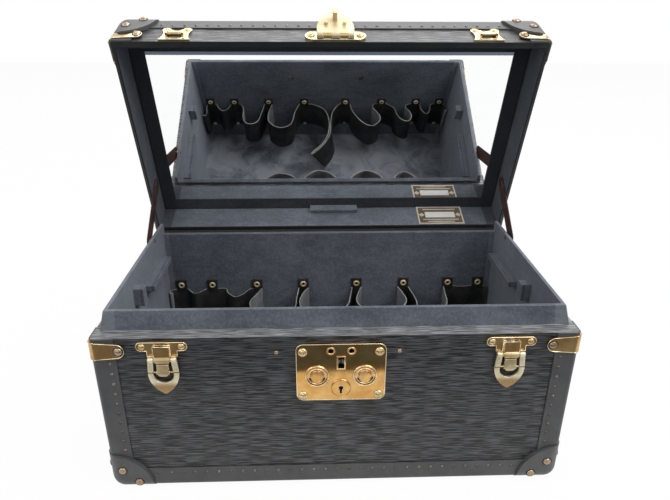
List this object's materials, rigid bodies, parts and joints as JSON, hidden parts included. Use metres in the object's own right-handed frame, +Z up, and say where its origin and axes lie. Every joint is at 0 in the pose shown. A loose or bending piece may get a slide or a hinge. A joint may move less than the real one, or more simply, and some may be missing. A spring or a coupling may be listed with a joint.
{
  "type": "vanity case",
  "caption": "Hard leather covered vanity case with a hinged mirror lid, a push button lock with a hasp, draw clasps and bottle loops inside, standing open.",
  "frame": {"origin": "under the middle of the base's footprint, on the plane that its bottom panel and its four corner caps stand on", "axes": "+X to the right along the front, -Y towards the front with the lock, +Z up; the lid is stored open as pictured"},
  "size_m": [0.3476, 0.2354, 0.3388],
  "materials": {
    "wood": "raw plywood, hidden",
    "grained_leather": "fine striated grain, semi matte",
    "edge_leather": "smooth, satin",
    "suede": "brushed suede, matte",
    "band_leather": "smooth, satin",
    "stay_leather": "smooth, satin",
    "brass": "polished, a little worn",
    "steel": "plain",
    "mirror": "clear mirror"
  },
  "bodies": {
    "base": {"base_box": "wood", "base_covering": "grained_leather", "base_edging": "edge_leather", "base_lining": "suede", "base_panel": "grained_leather", "base_corner_caps": "edge_leather", "base_brass_corners": "brass", "base_corner_rivets": "brass", "base_nails": "brass", "tray_rests": "suede", "front_loop_band": "band_leather", "rear_loop_band": "band_leather", "loop_tabs": "band_leather", "loop_snaps": "brass", "through_pins": "brass", "hinge_base_leaf": "brass", "base_pins": "steel", "base_hardware_rivets": "brass", "lid_stay_left": "stay_leather", "lid_stay_right": "stay_leather", "lock_plate": "brass", "lock_case": "steel", "keyhole_rosette": "brass", "clasp_plates": "brass", "button_spring_left": "steel", "button_spring_right": "steel"},
    "lid": {"lid_box": "wood", "lid_covering": "grained_leather", "lid_edging": "edge_leather", "lid_lining": "suede", "lid_corner_caps": "edge_leather", "lid_brass_corners": "brass", "lid_corner_rivets": "brass", "lid_nails": "brass", "mirror_backing": "wood", "mirror_glass": "mirror", "mirror_frame": "suede", "mirror_tab": "suede", "label_plate": "stay_leather", "hasp_plate": "brass", "catch_plates": "brass", "catch_rolls": "brass", "lid_hardware_rivets": "brass", "hinge_lid_leaf": "brass", "handle_mounts": "brass", "lid_pins": "steel"},
    "hasp": {"hasp": "brass"},
    "handle": {"handle_grip": "edge_leather", "handle_ends": "brass"},
    "clasp_lever_left": {"clasp_lever_left": "brass", "hook_pin_left": "steel"},
    "clasp_hook_left": {"clasp_hook_left": "brass"},
    "lock_button_left": {"lock_button_left": "brass"},
    "lock_bolt_left": {"lock_bolt_left": "brass"},
    "clasp_lever_right": {"clasp_lever_right": "brass", "hook_pin_right": "steel"},
    "clasp_hook_right": {"clasp_hook_right": "brass"},
    "lock_button_right": {"lock_button_right": "brass"},
    "lock_bolt_right": {"lock_bolt_right": "brass"}
  },
  "joints": [
    {"name": "lid_hinge", "type": "hinge", "parent": "base", "child": "lid", "pos_m": [0, 0.0971, 0.1336], "axis": [1, 0, 0], "range_deg": [0, 70.75], "deforming": ["lid_stay_left", "lid_stay_right"]},
    {"name": "hasp_hinge", "type": "hinge", "parent": "lid", "child": "hasp", "pos_m": [0.0021, 0.03547, 0.31979], "axis": [1, 0, 0], "range_deg": [0, 175]},
    {"name": "handle_fold", "type": "hinge", "parent": "lid", "child": "handle", "pos_m": [0, 0.10673, 0.25464], "axis": [1, 0, 0], "range_deg": [0, 180]},
    {"name": "clasp_lever_left", "type": "hinge", "parent": "base", "child": "clasp_lever_left", "pos_m": [-0.121, -0.0982, 0.1182], "axis": [-1, 0, 0], "range_deg": [0, 130]},
    {"name": "clasp_hook_left", "type": "hinge", "parent": "clasp_lever_left", "child": "clasp_hook_left", "pos_m": [-0.121, -0.0982, 0.10819], "axis": [1, 0, 0], "range_deg": [0, 40]},
    {"name": "lock_button_left", "type": "slide", "parent": "base", "child": "lock_button_left", "axis": [0, 1, 0], "range_m": [0, 0.002], "stiffness_N_per_m": 300, "springref_m": -0.001, "deforming": ["button_spring_left"]},
    {"name": "lock_bolt_left", "type": "slide", "parent": "base", "child": "lock_bolt_left", "axis": [-1, 0, 0], "range_m": [0, 0.002]},
    {"name": "clasp_lever_right", "type": "hinge", "parent": "base", "child": "clasp_lever_right", "pos_m": [0.121, -0.0982, 0.1182], "axis": [-1, 0, 0], "range_deg": [0, 130]},
    {"name": "clasp_hook_right", "type": "hinge", "parent": "clasp_lever_right", "child": "clasp_hook_right", "pos_m": [0.121, -0.0982, 0.10819], "axis": [1, 0, 0], "range_deg": [0, 40]},
    {"name": "lock_button_right", "type": "slide", "parent": "base", "child": "lock_button_right", "axis": [0, 1, 0], "range_m": [0, 0.002], "stiffness_N_per_m": 300, "springref_m": -0.001, "deforming": ["button_spring_right"]},
    {"name": "lock_bolt_right", "type": "slide", "parent": "base", "child": "lock_bolt_right", "axis": [1, 0, 0], "range_m": [0, 0.002]}
  ],
  "couplings": [
    {"joint": "lock_bolt_left", "follows": "lock_button_left", "ratio": 1},
    {"joint": "lock_bolt_right", "follows": "lock_button_right", "ratio": 1}
  ]
}
